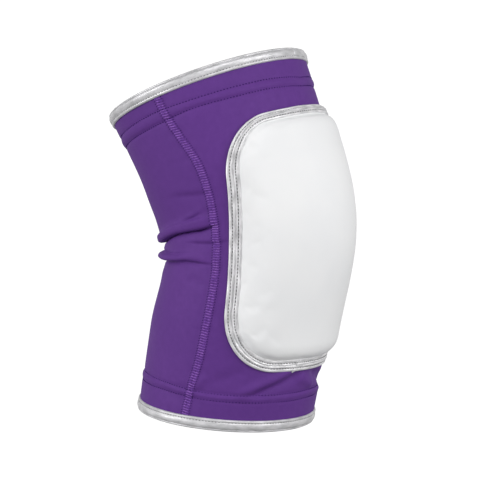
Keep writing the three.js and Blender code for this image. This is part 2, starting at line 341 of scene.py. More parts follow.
def sheet_mesh(name, across, along, place, size, closed=False):
    """A grid whose vertices are put where place(u, v) says, with UVs in metres of cloth."""
    bm = bmesh.new()
    uv = bm.loops.layers.uv.new("cloth")
    bmesh.ops.create_grid(bm, x_segments=across, y_segments=along, size=0.5, calc_uvs=True)
    for face in bm.faces:
        face.smooth = True
        for loop in face.loops:
            loop[uv].uv = (loop[uv].uv.x * size[0], loop[uv].uv.y * size[1])
    for vert in bm.verts:
        vert.co = place(vert.co.x + 0.5, vert.co.y + 0.5)
    if closed:
        bmesh.ops.remove_doubles(bm, verts=bm.verts, dist=0.001 * MM)
    mesh = bpy.data.meshes.new(name)
    bm.to_mesh(mesh)
    bm.free()
    piece = bpy.data.objects.new(name, mesh)
    bpy.context.collection.objects.link(piece)
    return piece


def thicken(piece, wall):
    """Gives a sheet its thickness, inwards from its outer face."""
    layer = piece.modifiers.new("wall", "SOLIDIFY")
    layer.thickness = wall
    layer.offset = -1
    layer.use_rim = True


def colour(code):
    """An sRGB hex value as linear red, green, blue and alpha."""
    channels = [int(code[i:i + 2], 16) / 255 for i in (0, 2, 4)]
    return [c / 12.92 if c <= 0.04045 else ((c + 0.055) / 1.055) ** 2.4 for c in channels] + [1]


# The sockets of a Mix node that blends two colours: the share, the first colour and the second.
SHARE, FIRST, SECOND = 0, 6, 7


def add(tree, kind, inputs=(), **settings):
    """Adds a shader node. inputs pairs a socket with a value or with the output that feeds it."""
    made = tree.nodes.new("ShaderNode" + kind)
    for name, value in settings.items():
        setattr(made, name, value)
    for socket, value in inputs:
        if isinstance(value, bpy.types.NodeSocket):
            tree.links.new(value, made.inputs[socket])
        else:
            made.inputs[socket].default_value = value
    return made


def new_material(name):
    """A new material, its node tree and its shader."""
    material = bpy.data.materials.new(name)
    material.use_nodes = True
    shader = material.node_tree.nodes["Principled BSDF"]
    return material, material.node_tree, shader


# Purple warp knit: dyed polyester with elastane. Fine upright wales, a matt face that turns lighter
# where it is seen at a shallow angle, and a slightly uneven dye.
fabric, tree, shader = new_material("purple_warp_knit")
# The patterns' sizes. A Wave node at scale 1 has its bands 0.314 m apart.
WAVE_SPACING = 0.314
WALE_SPACING = 0.7 * MM
CLOTH_GRAIN = 1.11 * MM
CLOTH_MOTTLE = 3.85 * MM
DYE_PATCH = 45.5 * MM
cloth_uv = add(tree, "UVMap", uv_map="cloth")
place = add(tree, "TexCoord")
wales = add(tree, "TexWave", [("Vector", cloth_uv.outputs["UV"]), ("Scale", WAVE_SPACING / WALE_SPACING),
                              ("Distortion", 1.2), ("Detail", 2.0), ("Detail Scale", 2.0)],
            wave_type="BANDS", bands_direction="X")
grain = add(tree, "TexNoise", [("Vector", place.outputs["Object"]), ("Scale", 1 / CLOTH_GRAIN),
                               ("Detail", 3.0)])
dye = add(tree, "TexNoise", [("Vector", place.outputs["Object"]), ("Scale", 1 / DYE_PATCH),
                             ("Detail", 4.0)])
mottle = add(tree, "TexNoise", [("Vector", place.outputs["Object"]), ("Scale", 1 / CLOTH_MOTTLE),
                                ("Detail", 3.0)])
uneven = add(tree, "Mix", [(SHARE, dye.outputs["Fac"]), (FIRST, colour("593380")),
                           (SECOND, colour("6A3F90"))], data_type="RGBA")
speckled = add(tree, "Mix", [(SHARE, mottle.outputs["Fac"]), (FIRST, colour("59337F")),
                             (SECOND, uneven.outputs[2])], data_type="RGBA")
tree.links.new(speckled.outputs[2], shader.inputs["Base Color"])
height = add(tree, "Math", [(0, wales.outputs["Fac"]), (1, grain.outputs["Fac"])], operation="ADD")
relief = add(tree, "Bump", [("Strength", 0.15), ("Distance", 0.1 * MM), ("Height", height.outputs[0])])
tree.links.new(relief.outputs["Normal"], shader.inputs["Normal"])
shader.inputs["Roughness"].default_value = 0.6
shader.inputs["Specular IOR Level"].default_value = 0.1
shader.inputs["Sheen Weight"].default_value = 0.1
shader.inputs["Sheen Roughness"].default_value = 0.3
shader.inputs["Sheen Tint"].default_value = colour("9A55E0")

FABRIC_LOW = 1.2 * MM / LEG_LENGTH
FABRIC_HIGH = 1 - FABRIC_LOW
HEM_ZONE = (12 * MM / LEG_LENGTH, 28 * MM / LEG_LENGTH)
FINE_ZONES = (HEM_ZONE, (1 - HEM_ZONE[1], 1 - HEM_ZONE[0]), (0.43, 0.63))
ROWS = row_places(FABRIC_LOW, FABRIC_HIGH, 1.5 * MM, 0.8 * MM, FINE_ZONES)
# Each panel's share of the girth at the knee.
FRONT_SHARE = 0.455
BACK_SHARE = 0.545


def make_panel(name, behind, columns):
    """The front panel, or the one behind the knee, from one side seam to the other."""
    def place(u, v):
        at = ROWS[round(v * (len(ROWS) - 1))]
        edge = curve(SEAM, "angle", at)
        start, end = (edge, 360 - edge) if behind else (-edge, edge)
        return cloth_point(at, end + (start - end) * u)

    width = 2 * math.pi * radius(0.5) * (BACK_SHARE if behind else FRONT_SHARE)
    panel = sheet_mesh(name, columns, len(ROWS) - 1, place, (width, LEG_LENGTH))
    thicken(panel, FABRIC_WALL)
    panel.data.materials.append(fabric)
    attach(panel, "root")
    return panel


front_panel = make_panel("front_panel_cloth", False, 110)
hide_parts("front_panel")
back_panel = make_panel("back_panel_cloth", True, 140)
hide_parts("back_panel")


# The stitches of the sleeve, in polyester thread. Flat seams join the panels: a ladder of threads lies
# across the joint, with the needle holes down both edges shown as dots of painted shade. Two rows of
# stitches hold each hem, drawn in so deep that they look dark: they are painted dark, as painted shade.
SEAM_STITCH = 1.55 * MM
SEAM_THREAD = 0.3 * MM
SEAM_THREAD_LIFT = 0.1 * MM
# Stitches left out of the seams: at the calf rim, and in all.
SEAM_FIRST = 4
SEAM_LEFT_OUT = 5
# The threads' reach and the place of the needle holes' painted shade, in shares of the seam's half width.
SEAM_THREAD_REACH = 0.78
NEEDLE_MARK_AT = 0.95
NEEDLE_MARK = 0.42 * MM
NEEDLE_MARK_HALF = 0.0011
NEEDLE_MARK_LIFT = 0.05 * MM
HEM_STITCH = 2 * MM
HEM_THREAD = 0.36 * MM
HEM_THREAD_LIFT = 0.1 * MM
HEM_SINK = 0.5 * MM
HEM_SINK_PACE = 17 * MM
STITCH_SIDES = 6
STITCH_RINGS = 6


def stitch_unit():
    """A short thread of unit length along X, thick to its rounded ends."""
    bm = bmesh.new()
    bmesh.ops.create_uvsphere(bm, u_segments=STITCH_SIDES, v_segments=STITCH_RINGS, radius=1)
    bmesh.ops.rotate(bm, verts=bm.verts, cent=(0, 0, 0), matrix=Matrix.Rotation(math.pi / 2, 3, "Y"))
    for vert in bm.verts:
        vert.co.x = math.copysign(0.5 * abs(vert.co.x) ** 0.5, vert.co.x)
    for face in bm.faces:
        face.smooth = True
    mesh = bpy.data.meshes.new("stitch")
    bm.to_mesh(mesh)
    bm.free()
    return mesh


def sew(name, threads, thickness, material):
    """One mesh of short threads, each given by its two ends and the way its top faces."""
    unit = stitch_unit()
    bm = bmesh.new()
    for start, end, facing in threads:
        along = end - start
        side = facing.cross(along).normalized()
        top = along.cross(side).normalized()
        turn = Matrix((along, side * thickness, top * thickness)).transposed().to_4x4()
        stitch = unit.copy()
        stitch.transform(Matrix.Translation((start + end) / 2) @ turn)
        bm.from_mesh(stitch)
        bpy.data.meshes.remove(stitch)
    bpy.data.meshes.remove(unit)
    mesh = bpy.data.meshes.new(name)
    bm.to_mesh(mesh)
    bm.free()
    mesh.materials.append(material)
    piece = bpy.data.objects.new(name, mesh)
    bpy.context.collection.objects.link(piece)
    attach(piece, "root")
    return piece


def cloth_facing(at, angle):
    """The way the cloth faces at a place."""
    step = 0.6 * MM / LEG_LENGTH
    turn = math.degrees(0.6 * MM / radius(at))
    up = cloth_point(at + step, angle) - cloth_point(at - step, angle)
    round_leg = cloth_point(at, angle - turn) - cloth_point(at, angle + turn)
    return round_leg.cross(up).normalized()


def aside_angle(at, distance):
    """A distance round the leg, as an angle."""
    return math.degrees(distance / radius(at))


# Thread dyed a shade lighter than the cloth, with the soft gloss of twisted polyester. Its shade drifts a
# little from stitch to stitch.
THREAD_SHADE = 2.38 * MM
thread, tree, shader = new_material("purple_thread")
place = add(tree, "TexCoord")
worn = add(tree, "TexNoise", [("Vector", place.outputs["Object"]), ("Scale", 1 / THREAD_SHADE),
                              ("Detail", 2.0)])
shades = add(tree, "MapRange", [("Value", worn.outputs["Fac"]), ("From Min", 0.35), ("From Max", 0.65)])
spun = add(tree, "Mix", [(SHARE, shades.outputs[0]), (FIRST, colour("6E429E")), (SECOND, colour("9866C0"))],
           data_type="RGBA")
tree.links.new(spun.outputs[2], shader.inputs["Base Color"])
shader.inputs["Roughness"].default_value = 0.6
shader.inputs["Specular IOR Level"].default_value = 0.2

# The dark of a needle hole, drawn in round the thread: a small matt painted shadow in the cloth. The hems'
# stitches are painted with it too, as the shade of thread drawn deep into the cloth.
needle_hole_shade, tree, shader = new_material("needle_hole_shade")
shader.inputs["Base Color"].default_value = colour("3B1E62")
shader.inputs["Roughness"].default_value = 0.9
shader.inputs["Specular IOR Level"].default_value = 0.1

bars, marks = [], []
for step in range(int(LEG_LENGTH / SEAM_STITCH) - SEAM_LEFT_OUT):
    at = (SEAM_FIRST * SEAM_STITCH + step * SEAM_STITCH) / LEG_LENGTH
    for side in (1, -1):
        seam = curve(SEAM, "angle", at) * side
        reach = aside_angle(at, SEAM_THREAD_REACH * SEAM_HALF_WIDTH)
        lean = 0.25 * SEAM_STITCH / LEG_LENGTH
        facing = cloth_facing(at, seam)
        left = cloth_point(at + lean, seam + reach, SEAM_THREAD_LIFT)
        right = cloth_point(at - lean, seam - reach, SEAM_THREAD_LIFT)
        bars.append((left, right, facing))
        between = at + 0.5 * SEAM_STITCH / LEG_LENGTH
        # The needle holes beside each stitch, as small dots of painted shade.
        for edge in (NEEDLE_MARK_AT, -NEEDLE_MARK_AT):
            there = seam + aside_angle(at, edge * SEAM_HALF_WIDTH)
            low = cloth_point(between - NEEDLE_MARK_HALF, there, NEEDLE_MARK_LIFT)
            high = cloth_point(between + NEEDLE_MARK_HALF, there, NEEDLE_MARK_LIFT)
            marks.append((low, high, facing))
sew("seam_stitches", bars, SEAM_THREAD, thread)
sew("seam_needle_hole_shade", marks, NEEDLE_MARK, needle_hole_shade)

# Some of the hems' stitches sink deeper into the cloth than others. All are painted with the needle holes'
# painted shade.
dashes = []
for rim in (0, 1):
    for row in ("near", "far"):
        count = int(2 * math.pi * radius(0.9 if rim else 0.1) / HEM_STITCH)
        for step in range(count):
            angle = 360 * step / count
            at = abs(rim - hem_row(rim, row, angle) / LEG_LENGTH)
            length = aside_angle(at, 0.23 * HEM_STITCH)
            sunk = noise.noise(Vector((step * HEM_STITCH / HEM_SINK_PACE, rim, at * 90)))
            lift = min(HEM_THREAD_LIFT + HEM_SINK * sunk, HEM_THREAD_LIFT)
            start = cloth_point(at, angle - length, lift)
            end = cloth_point(at, angle + length, lift)
            dashes.append((start, end, cloth_facing(at, angle)))
sew("hem_stitches", dashes, HEM_THREAD, needle_hole_shade)


# The rim tapes. Silver-white satin tape, folded over each rim and sewn down with one row of stitches near
# the edge that lies on the cloth, so that it makes a smooth rounded lip all the way round the leg.
TAPE_WALL = 0.4 * MM
RIM_TAPE_FLAT = 15 * MM
TAPE_STITCH = 2 * MM
RIM_TAPE_ROWS = 40

# The tape's path over the rim: how far in from the rim, and how high above the leg's form.
RIM_TAPE = (
    {"at": 0, "into": 6.6, "lift": 0.2},
    {"at": 0.03, "into": 6.65, "lift": 0.9},
    {"at": 0.09, "into": 6.1, "lift": 1.3},
    {"at": 0.14, "into": 5.5, "lift": 1.05},
    {"at": 0.17, "into": 5.2, "lift": 0.95},
    {"at": 0.23, "into": 4.4, "lift": 1.35},
    {"at": 0.31, "into": 3, "lift": 1.6},
    {"at": 0.39, "into": 1.6, "lift": 1.3},
    {"at": 0.43, "into": 1.05, "lift": 0.4},
    {"at": 0.47, "into": 0.4, "lift": 0.85},
    {"at": 0.5, "into": 0, "lift": 0.1},
    {"at": 0.54, "into": 0.2, "lift": -1.2},
    {"at": 0.6, "into": 1.2, "lift": -1.9},
    {"at": 0.84, "into": 4.6, "lift": -1.9},
    {"at": 1, "into": 6.2, "lift": -1.5},
)
# The row of stitches on the rim tapes, the tape's small waves, and how far each stitch draws it in.
RIM_STITCH_INTO = 5.3 * MM
RIM_STITCH_LIFT = 1.2 * MM
RIM_STITCH_WIDTH = 1.1 * MM
RIM_THREAD = 0.32 * MM
RIM_WAVE = 0.18 * MM
RIM_WAVE_PACE = 4
RIM_DRAWN_IN = 0.14 * MM
RIM_COLUMN = 1.1 * MM


# Satin tape: silver-white polyester filament. It is smooth and softly glossy, with faint ribs across it,
# and lighter and darker streaks along it that are painted sheen. The same tape is made as two copies:
# the rims' copy is painted a shade darker and more even, as painted shade, and the pad's copy lighter,
# as painted light.
TAPE_RIB = 0.8 * MM
SATIN_SHEEN_STREAK = 7.7 * MM


def satin_tape(name, dark, light):
    """Satin between a dark and a light shade, painted in streaks along the tape as painted sheen."""
    satin, tree, shader = new_material(name)
    tape_uv = add(tree, "UVMap", uv_map="cloth")
    # Streaks of painted sheen, stretched along the tape.
    stretched = add(tree, "Mapping", [("Vector", tape_uv.outputs["UV"]), ("Scale", (1, 3.2, 1))])
    sheen_streaks = add(tree, "TexNoise", [("Vector", stretched.outputs[0]), ("Scale", 1 / SATIN_SHEEN_STREAK),
                                    ("Detail", 4.0)])
    shades = add(tree, "MapRange", [("Value", sheen_streaks.outputs["Fac"]), ("From Min", 0.3), ("From Max", 0.7)])
    ribs = add(tree, "TexWave", [("Vector", tape_uv.outputs["UV"]), ("Scale", WAVE_SPACING / TAPE_RIB),
                                 ("Distortion", 0.8), ("Detail", 1.0)],
               wave_type="BANDS", bands_direction="X")
    silver = add(tree, "Mix", [(SHARE, shades.outputs[0]), (FIRST, colour(dark)), (SECOND, colour(light))],
                 data_type="RGBA")
    tree.links.new(silver.outputs[2], shader.inputs["Base Color"])
    relief = add(tree, "Bump", [("Strength", 0.3), ("Distance", 0.1 * MM), ("Height", ribs.outputs["Fac"])])
    tree.links.new(relief.outputs["Normal"], shader.inputs["Normal"])
    shader.inputs["Roughness"].default_value = 0.38
    shader.inputs["Metallic"].default_value = 0.3
    shader.inputs["Sheen Weight"].default_value = 0.15
    return satin


# Two copies of the one tape: the rims' darker, as painted shade, and the pad's lighter, as painted light.
rim_satin_painted_shade = satin_tape("silver_satin_rim_tape_painted_shade", "B4B4B6", "DEDDE0")
pad_satin_painted_light = satin_tape("silver_satin_pad_tape_painted_light", "B8B8BA", "F6F5F7")

# Grey polyester thread on the tape, darker than the satin, so that the rows read as fine dots. Its dark grey
# is partly the thread's own colour and partly painted shade of the grooves that the rows are sewn into.
tape_thread_and_groove_shade, tree, shader = new_material("grey_thread_and_groove_shade")
shader.inputs["Base Color"].default_value = colour("5E5E61")
shader.inputs["Roughness"].default_value = 0.6


def rim_tape_point(top, angle, into, lift):
    """A point a distance in from the thigh rim (top) or the calf rim."""
    at = 1 - into / LEG_LENGTH if top else into / LEG_LENGTH
    return leg_point(at, angle, lift)


def make_rim_tape(name, top, girth):
    """The tape over the thigh rim (top) or the calf rim, with its row of stitches."""
    def place(u, v):
        angle = (360 if top else -360) * u
        turn = math.radians(angle)
        into, lift = curve(RIM_TAPE, "into", v) * MM, curve(RIM_TAPE, "lift", v) * MM
        wave = noise.noise(Vector((math.cos(turn) * RIM_WAVE_PACE, math.sin(turn) * RIM_WAVE_PACE, 2 + top)))
        lift += RIM_WAVE * wave * (lift > 0)
        drawn_in = hump((into - RIM_STITCH_INTO) / RIM_STITCH_WIDTH) * (v < 0.5)
        lift -= RIM_DRAWN_IN * drawn_in * math.cos(2 * math.pi * u * girth / TAPE_STITCH)
        return rim_tape_point(top, angle, into, lift)

    columns = int(girth / RIM_COLUMN)
    tape = sheet_mesh(name, columns, RIM_TAPE_ROWS, place, (girth, RIM_TAPE_FLAT), closed=True)
    thicken(tape, TAPE_WALL)
    tape.data.materials.append(rim_satin_painted_shade)
    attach(tape, "root")
    count = round(girth / TAPE_STITCH)
    rows = []
    for step in range(count):
        angle, half = 360 * step / count, 100 / count
        ends = [rim_tape_point(top, angle + turn, RIM_STITCH_INTO, RIM_STITCH_LIFT) for turn in (-half, half)]
        facing = leg_point(1 if top else 0, angle, MM) - leg_point(1 if top else 0, angle)
        rows.append((*ends, facing.normalized()))
    sew(name + "_stitches", rows, RIM_THREAD, tape_thread_and_groove_shade)
    return tape


top_tape = make_rim_tape("top_rim_tape", True, math.pi * (THIGH_DEPTH + THIGH_WIDTH) / 2)
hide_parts("top_binding")
bottom_tape = make_rim_tape("bottom_rim_tape", False, math.pi * (CALF_DEPTH + CALF_WIDTH) / 2)
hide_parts("bottom_binding")


# The pad. Moulded foam under a smooth white knit cover, crowned over the kneecap, with a round shoulder
# that drops to a thin sewn flange. It lies on the front panel, and its flange leans up off the leg, most
# of all at the top and the bottom, where the stretched sleeve pulls away under it.
PAD_WIDTH = 139.6 * MM
PAD_LENGTH = 141 * MM
PAD_WAIST = 2 * MM
PAD_DROP = -0.2 * MM
PAD_TOP_CORNER = 30 * MM
PAD_BOTTOM_CORNER = 35 * MM
PAD_TAPE_WIDTH = 8.2 * MM
TOP_NARROWED = 0.34
BOTTOM_NARROWED = 0.16
SIDE_LEAN = math.radians(11)
TOP_LEAN = math.radians(26)
BOTTOM_LEAN = math.radians(10)
FLANGE_BACK = 0.2 * MM
FLANGE_TOP = 0.6 * MM
FLANGE_INSET = 1.4 * MM
# The round shoulder rises over a shorter run at the pad's two ends, and starts a small gap from the tape.
SHOULDER_HEIGHT = 7 * MM
SHOULDER_RUN = 13 * MM
END_RUN = 9 * MM
TOP_GAP = 1.2 * MM
BOTTOM_GAP = 1 * MM
CROWN_HEIGHT = 9 * MM
CROWN_LENGTH = 124 * MM
CROWN_RISE = 4 * MM
# The cover is gathered a little beside its tape.
GATHER_DEPTH = 0.35 * MM
GATHER_SIZE = 3.4 * MM
GATHER_FROM_TAPE = 2 * MM
GATHER_WIDTH = 2.2 * MM
PAD_CELLS = 70


def pad_point(across, along, lift):
    """A point above the front panel, given in metres of cloth from the pad's middle."""
    at = 0.5 + (along - PAD_DROP) / LEG_LENGTH
    waist = PAD_WAIST * math.cos(math.pi * along / PAD_LENGTH) ** 2
    narrowed = across * (1 - waist / (PAD_WIDTH / 2))
    return leg_point(at, -math.degrees(narrowed / radius(at)), lift)


def edge_lean(up):
    """How the flange leans and how wide its tape looks. The edge faces up (1), down (-1) or aside (0)."""
    end_lean, narrowed = (TOP_LEAN, TOP_NARROWED) if up > 0 else (BOTTOM_LEAN, BOTTOM_NARROWED)
    return SIDE_LEAN + (end_lean - SIDE_LEAN) * up * up, PAD_TAPE_WIDTH * (1 - narrowed * up * up)


def pad_outline(share, inset):
    """A point of the pad's rounded outline taken in by inset, and how much the edge faces up there. The
    share runs once round, from the bottom's middle towards the side that faces -X."""
    low, high = PAD_BOTTOM_CORNER, PAD_TOP_CORNER
    bottom = Vector((PAD_WIDTH / 2 - low, low - PAD_LENGTH / 2))
    top = Vector((PAD_WIDTH / 2 - high, PAD_LENGTH / 2 - high))
    legs = (
        (Vector((0, bottom.y)), bottom, low, low, 0, 0),
        (bottom, bottom, low, low, 0, math.pi / 2),
        (bottom, top, low, high, math.pi / 2, math.pi / 2),
        (top, top, high, high, math.pi / 2, math.pi),
        (top, Vector((0, top.y)), high, high, math.pi, math.pi),
    )
    lengths = [(end - start).length + (after - before) * r for start, end, r, _, before, after in legs]
    run = min(share, 1 - share) * 2 * sum(lengths)
    leg = 0
    while leg < 4 and run > lengths[leg]:
        run -= lengths[leg]
        leg += 1
    start, end, first, last, before, after = legs[leg]
    done = min(run / lengths[leg], 1)
    turn = before + (after - before) * done
    reach = first + (last - first) * done - inset
    point = start.lerp(end, done) + reach * Vector((math.sin(turn), -math.cos(turn)))
    return (-point.x if share <= 0.5 else point.x), point.y, -math.cos(turn)


def pad_edge(across, along):
    """How far in from the pad's outline a point lies, and how much the nearest edge faces up."""
    corner = PAD_TOP_CORNER if along > 0 else PAD_BOTTOM_CORNER
    aside, beyond = abs(across) - PAD_WIDTH / 2 + corner, abs(along) - PAD_LENGTH / 2 + corner
    if aside > 0 and beyond > 0:
        distance = math.hypot(aside, beyond)
        return corner - distance, math.copysign(beyond / distance, along)
    return corner - max(aside, beyond), (math.copysign(1, along) if beyond > aside else 0)


def end_gap(up):
    """The flat strip between the tape and the shoulder, only at the pad's two ends."""
    return (TOP_GAP if up > 0 else BOTTOM_GAP) * up * up


def pad_lift(across, along):
    """The height of the cover: the flange, the round shoulder and the crown."""
    inset, up = pad_edge(across, along)
    lean, tape = edge_lean(up)
    flange = tape * math.cos(lean)
    gap = end_gap(up)
    if inset <= flange + gap:
        return FLANGE_TOP + min(inset, flange) * math.tan(lean)
    start = FLANGE_TOP + tape * math.sin(lean)
    full_run = SHOULDER_RUN + (END_RUN - SHOULDER_RUN) * up * up
    run = min((inset - flange - gap) / full_run, 1)
    shoulder = start + (SHOULDER_HEIGHT - start) * math.sqrt(1 - (1 - run) ** 2)
    upward = min(max((along - PAD_DROP - CROWN_RISE) / (CROWN_LENGTH / 2), -1), 1)
    sideways = min(abs(across) / (PAD_WIDTH / 2 - flange), 1)
    crown = CROWN_HEIGHT * math.cos(math.pi / 2 * upward) ** 2 * (1 - sideways ** 2)
    gathered = hump((inset - flange - GATHER_FROM_TAPE) / GATHER_WIDTH)
    creased = noise.noise(Vector((across / GATHER_SIZE, along / GATHER_SIZE, 6.4)))
    return shoulder + crown - GATHER_DEPTH * gathered * max(creased, 0)


def square_outline(x, y, flange):
    """Spreads a square over the pad's outline, ring by ring, so that its cells stay even."""
    out = max(abs(x), abs(y))
    if out < 1e-6:
        return 0, 0
    if abs(x) > abs(y):
        run = 2 + y / out
    else:
        run = abs(x) / out if y < 0 else 4 - abs(x) / out
    share = run / 8 if x <= 0 else 1 - run / 8
    across, along, _ = pad_outline(share, flange)
    spread = math.sin(math.pi / 2 * out) * 0.5 + out * 0.5
    return across * spread, along * spread


INFLATE_STEPS = 20
INFLATE_PRESSURE = 4
INFLATE_CAP = 1.5 * MM
CLOTH_MASS = 0.004
CLOTH_DAMPING = 3
CLOTH_SPARE = 0.006


def inflate(piece, held):
    """Blows a closed cover up from inside, as light cloth that is cut a little larger than its form. The
    held points stay, and the rest move by a capped distance."""
    group = piece.vertex_groups.new(name="held")
    group.add(held, 1, "REPLACE")
    cloth = piece.modifiers.new("cloth", "CLOTH")
    cloth.settings.mass = CLOTH_MASS
    cloth.settings.air_damping = CLOTH_DAMPING
    cloth.settings.shrink_min = -CLOTH_SPARE
    cloth.settings.use_pressure = True
    cloth.settings.uniform_pressure_force = INFLATE_PRESSURE
    cloth.settings.effector_weights.gravity = 0
    cloth.settings.vertex_group_mass = group.name
    cloth.point_cache.frame_start = 1
    cloth.point_cache.frame_end = INFLATE_STEPS
    for step in range(1, INFLATE_STEPS + 1):
        bpy.context.scene.frame_set(step)
    blown = piece.evaluated_get(bpy.context.evaluated_depsgraph_get())
    moves = [after.co - before.co for before, after in zip(piece.data.vertices, blown.data.vertices)]
    piece.modifiers.remove(cloth)
    piece.vertex_groups.clear()
    bpy.context.scene.frame_set(1)
    for vert, move in zip(piece.data.vertices, moves):
        vert.co += move * min(1, INFLATE_CAP / max(move.length, 1e-9))


# White cover: a smooth interlock knit, brushed flat, with loops too fine to see singly. It looks an even,
# soft white, nearly matt.
COVER_LOOP = 0.667 * MM
COVER_SHADE = 33.3 * MM
cover, tree, shader = new_material("white_cover_knit")
place = add(tree, "TexCoord")
loops = add(tree, "TexNoise", [("Vector", place.outputs["Object"]), ("Scale", 1 / COVER_LOOP),
                               ("Detail", 2.0)])
shade = add(tree, "TexNoise", [("Vector", place.outputs["Object"]), ("Scale", 1 / COVER_SHADE),
                               ("Detail", 3.0)])
white = add(tree, "Mix", [(SHARE, shade.outputs["Fac"]), (FIRST, colour("E6E7E9")),
                          (SECOND, colour("F0F0F0"))], data_type="RGBA")
tree.links.new(white.outputs[2], shader.inputs["Base Color"])
relief = add(tree, "Bump", [("Strength", 0.12), ("Distance", 0.08 * MM), ("Height", loops.outputs["Fac"])])
tree.links.new(relief.outputs["Normal"], shader.inputs["Normal"])
shader.inputs["Roughness"].default_value = 0.6
shader.inputs["Specular IOR Level"].default_value = 0.3
shader.inputs["Sheen Weight"].default_value = 0.1

# The cover is two sheets, a crowned front and a flat back, joined round the flange's thin edge.
bm = bmesh.new()
held = []
for back in (False, True):
    made = bmesh.ops.create_grid(bm, x_segments=PAD_CELLS, y_segments=PAD_CELLS, size=1)
    bm.verts.index_update()
    for vert in made["verts"]:
        across, along = square_outline(vert.co.x, vert.co.y, FLANGE_INSET)
        inset, up = pad_edge(across, along)
        if back or inset < edge_lean(up)[1] + end_gap(up):
            held.append(vert.index)
        vert.co = pad_point(across, along, FLANGE_BACK if back else pad_lift(across, along))
bmesh.ops.bridge_loops(bm, edges=[edge for edge in bm.edges if edge.is_boundary])
bmesh.ops.recalc_face_normals(bm, faces=bm.faces)
for face in bm.faces:
    face.smooth = True
mesh = bpy.data.meshes.new("padded_cover")
bm.to_mesh(mesh)
bm.free()
pad = bpy.data.objects.new("padded_cover", mesh)
bpy.context.collection.objects.link(pad)
inflate(pad, held)
rounder = pad.modifiers.new("rounder", "SUBSURF")
rounder.levels = 1
rounder.render_levels = 1
pad.data.materials.append(cover)
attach(pad, "root")
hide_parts("foam_pad")


# The pad's tape. The same satin tape, folded round the pad's thin edge and sewn through the front panel
# with two rows, which draw it down into soft ridges. Its ends overlap at the bottom, cut on a slant.
PAD_TAPE_FLAT = 16 * MM
PAD_TAPE_ROWS = 70
PAD_TAPE_STEPS = 560
PAD_PERIMETER = 2 * (PAD_WIDTH + PAD_LENGTH) - (8 - 2 * math.pi) * (PAD_TOP_CORNER + PAD_BOTTOM_CORNER) / 2
PAD_STITCH_ROWS = (2.3, 6.1)
PAD_STITCH_HIGH = 0.9 * MM
PAD_STITCH_HALF = 0.28
PAD_THREAD = 0.26 * MM
# The tape ends' place, overlap and slant, in shares of the pad's outline.
TAPE_JOIN = 0.021
TAPE_OVERLAP = 0.018
TAPE_SLANT = -0.006
OVERLAP_RISE = 0.6 * MM
TAPE_BASE = 0.25 * MM
TAPE_WAVE = 0.22 * MM
TAPE_DRAWN_IN = 0.16 * MM
# How much flatter the tape is pressed at the pad's bottom.
BOTTOM_PRESSED = 0.35

# The tape's path from its inner edge over the ridges and the fold to the sleeve, in millimetres: how far
# it is from the outer edge, and how high above the flange's lean.
PAD_TAPE = (
    {"at": 0, "into": 8.3, "high": 0.3},
    {"at": 0.03, "into": 8.45, "high": 1},
    {"at": 0.07, "into": 8, "high": 1.3},
    {"at": 0.12, "into": 7.2, "high": 1.45},
    {"at": 0.17, "into": 6.6, "high": 1.15},
    {"at": 0.2, "into": 6.15, "high": 0.65},
    {"at": 0.24, "into": 5.75, "high": 1.4},
    {"at": 0.28, "into": 5.3, "high": 1.8},
    {"at": 0.33, "into": 4.75, "high": 1.2},
    {"at": 0.36, "into": 4.45, "high": 1.2},
    {"at": 0.41, "into": 3.8, "high": 2.1},
    {"at": 0.46, "into": 3, "high": 1.75},
    {"at": 0.49, "into": 2.65, "high": 1.25},
    {"at": 0.52, "into": 2.3, "high": 0.65},
    {"at": 0.56, "into": 1.9, "high": 1.45},
    {"at": 0.62, "into": 1.2, "high": 1.85},
    {"at": 0.68, "into": 0.4, "high": 1.65},
    {"at": 0.73, "into": 0, "high": 1.15},
    {"at": 0.78, "into": 0.2, "high": 0.75},
    {"at": 0.84, "into": 0.9, "high": 0.4},
    {"at": 1, "into": 2.5, "high": 0.1},
)


def edge_point(share, into, high):
    """A point on the leaning edge: into is measured across the tape, high off the lean."""
    up = pad_outline(share, 0)[2]
    lean, width = edge_lean(up)
    into *= width / PAD_TAPE_WIDTH
    high *= 1 - BOTTOM_PRESSED * min(up, 0) ** 2
    across, along, _ = pad_outline(share, into * math.cos(lean) - high * math.sin(lean))
    return pad_point(across, along, TAPE_BASE + into * math.sin(lean) + high * math.cos(lean))


def pad_tape_point(u, v):
    """A point of the pad's tape: u runs along it, v across it."""
    length = u * (1 + TAPE_OVERLAP)
    into, high = curve(PAD_TAPE, "into", v) * MM, curve(PAD_TAPE, "high", v) * MM
    share = TAPE_JOIN + length + TAPE_SLANT * (into / PAD_TAPE_WIDTH - 0.5)
    run = share * PAD_PERIMETER
    above = 1 if v < 0.7 else 0
    high += above * OVERLAP_RISE * smooth(1 + 0.3 * TAPE_OVERLAP, 1 + 0.7 * TAPE_OVERLAP, length)
    for row in PAD_STITCH_ROWS:
        drawn_in = hump((into - row * MM) / (0.8 * MM))
        high -= above * TAPE_DRAWN_IN * drawn_in * math.cos(2 * math.pi * run / TAPE_STITCH)
    high += above * TAPE_WAVE * noise.noise(Vector((run / (9 * MM), into / (3 * MM), 3.3)))
    into -= 1.1 * MM * smooth(1 + 0.8 * TAPE_OVERLAP, 1 + TAPE_OVERLAP, length) * hump(into / (1.5 * MM))
    return edge_point(share % 1, into, high)


pad_tape = sheet_mesh("pad_edge_tape", PAD_TAPE_STEPS, PAD_TAPE_ROWS, pad_tape_point,
                      (PAD_PERIMETER, PAD_TAPE_FLAT))
thicken(pad_tape, TAPE_WALL)
pad_tape.data.materials.append(pad_satin_painted_light)
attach(pad_tape, "root")
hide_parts("pad_binding")

